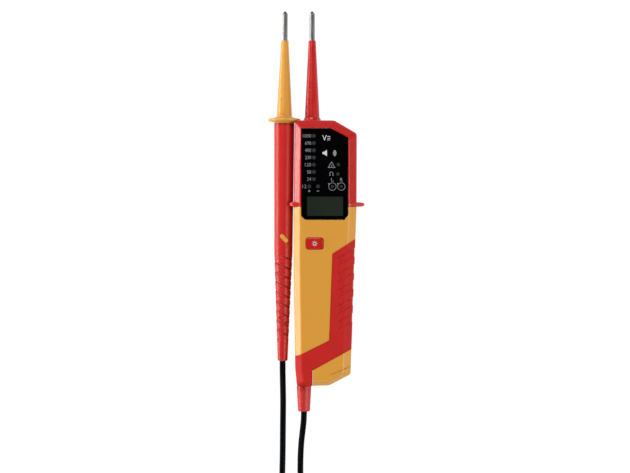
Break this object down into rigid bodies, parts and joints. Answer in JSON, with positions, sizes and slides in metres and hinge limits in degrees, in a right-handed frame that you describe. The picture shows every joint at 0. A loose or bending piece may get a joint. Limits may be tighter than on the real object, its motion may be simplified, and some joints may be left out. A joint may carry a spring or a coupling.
{
  "type": "two-pole voltage tester",
  "caption": "Two-pole voltage tester: a display handle with scale, LCD, guard and soft grip, and a slim probe handle clipped beside it, joined by one black cable.",
  "frame": {"origin": "on the back face of the display handle, on its tip's axis, at the middle of the hand guard", "axes": "+Y along the handles towards the tips, +Z out of the display, +X away from the clipped probe handle"},
  "size_m": [0.0846, 0.4116, 0.0268],
  "materials": {
    "housing_yellow": "fine moulded texture",
    "housing_red": "fine moulded texture",
    "grip_red": "soft matte grip",
    "window_black": "gloss",
    "lcd_grey": "gloss",
    "clear_lens": "clear",
    "board_green": "solder mask",
    "component_black": "moulded",
    "steel": "bright",
    "brass": "satin",
    "tin": "tinned",
    "cable_black": "smooth jacket"
  },
  "bodies": {
    "display_handle": {"front_shell": "housing_yellow", "rear_shell": "housing_yellow", "head_hood": "housing_red", "grip_sleeve": "grip_red", "display_tip_sleeve": "housing_red", "display_tip_rod": "steel", "display_rod_socket": "brass", "display_window": "window_black", "lcd_panel": "lcd_grey", "scale_light_guide": "clear_lens", "symbol_light_guide": "clear_lens", "main_board": "board_green", "key_switch": "component_black", "torch_led": "clear_lens", "buzzer": "component_black", "vibration_motor": "steel", "contact_block": "component_black", "cable_boot": "housing_red", "cable_clamp": "component_black", "cable_in_display": "cable_black", "housing_screw_1": "steel", "housing_screw_2": "steel", "housing_screw_3": "steel", "housing_screw_4": "steel", "cell_1": "tin", "contact_spring_1": "steel", "contact_plate_1": "tin", "cell_2": "tin", "contact_spring_2": "steel", "contact_plate_2": "tin", "cable_lead_display": "cable_black", "cable_coil": "cable_black", "cable_lead_probe": "cable_black"},
    "vibration_rotor": {"vibration_weight": "brass"},
    "lamp_key": {"lamp_key": "housing_red"},
    "battery_cover": {"battery_cover": "housing_yellow", "cell_jumper": "tin"},
    "cover_screw": {"cover_screw": "steel"},
    "probe_handle": {"probe_barrel": "housing_red", "probe_sleeve": "housing_yellow", "probe_tip_rod": "steel", "probe_rod_socket": "brass", "load_switch": "component_black", "probe_board": "board_green", "load_resistor_1": "component_black", "load_resistor_2": "component_black", "cable_ferrule": "brass", "cable_in_probe": "cable_black"},
    "load_key": {"load_key": "housing_yellow"}
  },
  "joints": [
    {"name": "probe_unclip", "type": "slide", "parent": "display_handle", "child": "probe_handle", "axis": [-1, 0, 0], "range_m": [0, 0.025]},
    {"name": "lamp_key_press", "type": "slide", "parent": "display_handle", "child": "lamp_key", "axis": [0, 0, -1], "range_m": [0, 0.0008], "stiffness_N_per_m": 500},
    {"name": "load_key_press", "type": "slide", "parent": "probe_handle", "child": "load_key", "axis": [0, 0, -1], "range_m": [0, 0.0008], "stiffness_N_per_m": 500},
    {"name": "cover_slide", "type": "slide", "parent": "display_handle", "child": "battery_cover", "axis": [0, -1, 0], "range_m": [0, 0.03]},
    {"name": "cover_screw_turn", "type": "hinge", "parent": "battery_cover", "child": "cover_screw", "pos_m": [0.013, -0.125, 0.019], "axis": [0, 1, 0], "continuous": true},
    {"name": "vibration_spin", "type": "hinge", "parent": "display_handle", "child": "vibration_rotor", "pos_m": [0.0135, -0.022, 0.013], "axis": [0, 1, 0], "continuous": true}
  ]
}
